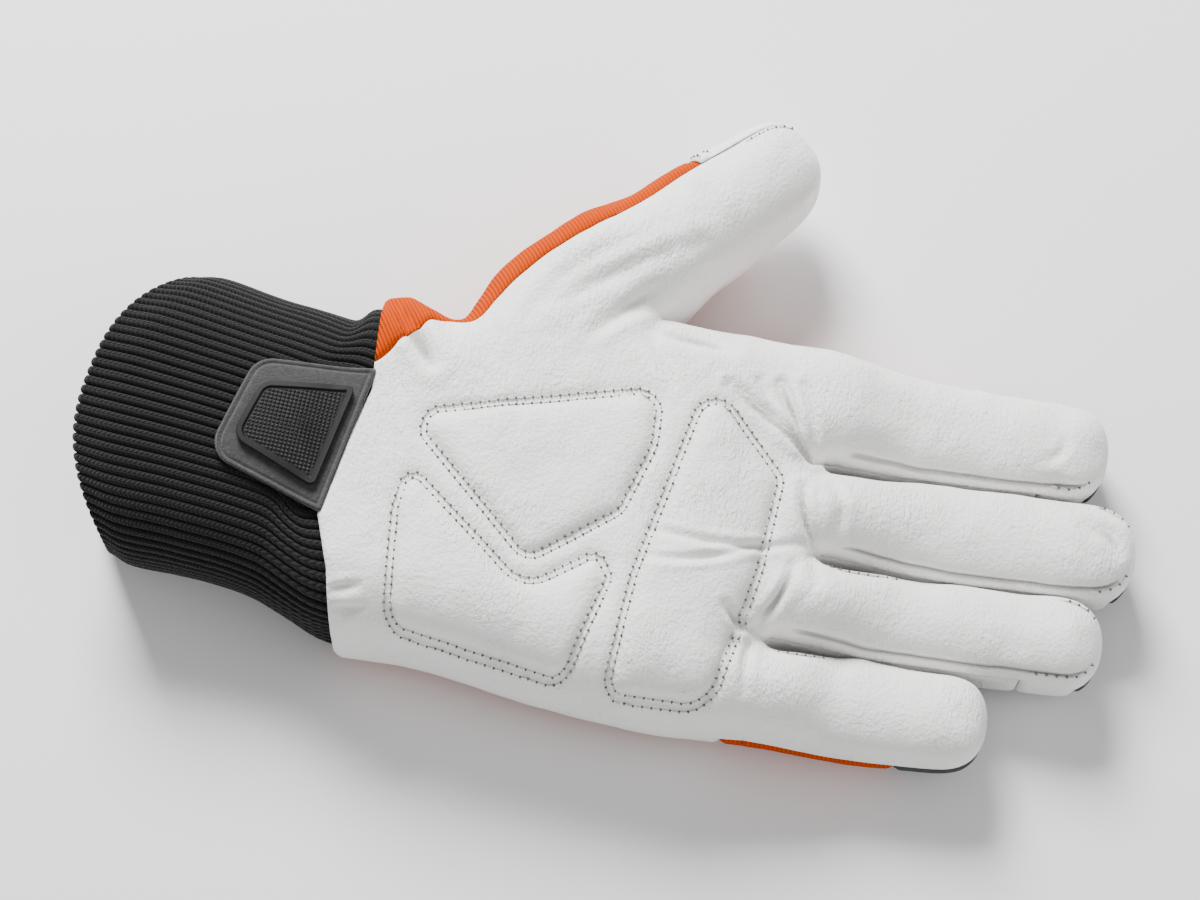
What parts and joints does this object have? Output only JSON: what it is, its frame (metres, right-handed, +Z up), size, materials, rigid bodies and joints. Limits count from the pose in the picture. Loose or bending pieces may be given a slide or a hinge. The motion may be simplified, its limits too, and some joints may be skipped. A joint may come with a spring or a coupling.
{
  "type": "work glove",
  "caption": "Left work glove with a padded leather palm, fabric back, leather fingers and a ribbed knit cuff, lying palm up.",
  "frame": {"origin": "under the middle of the palm, on the flat back that the glove rests on", "axes": "+X to the fingertips, +Y to the thumb's side, +Z up out of the palm"},
  "size_m": [0.2835, 0.1739, 0.0517],
  "materials": {
    "goat_leather": "matte",
    "stretch_fabric": "matte",
    "rib_knit": "matte",
    "tip_patch": "matte",
    "tab_suede": "matte",
    "badge_rubber": "satin"
  },
  "bodies": {
    "root": {"palm": "goat_leather", "back": "stretch_fabric", "thumb_cap": "goat_leather", "fingertip_patch_little": "tip_patch", "fingertip_patch_ring": "tip_patch", "fingertip_patch_middle": "tip_patch", "fingertip_patch_index": "tip_patch", "fourchette_little_ring": "goat_leather", "fourchette_ring_middle": "goat_leather", "fourchette_middle_index": "goat_leather", "cuff": "rib_knit", "wrist_tab": "tab_suede", "badge": "badge_rubber"}
  },
  "joints": []
}
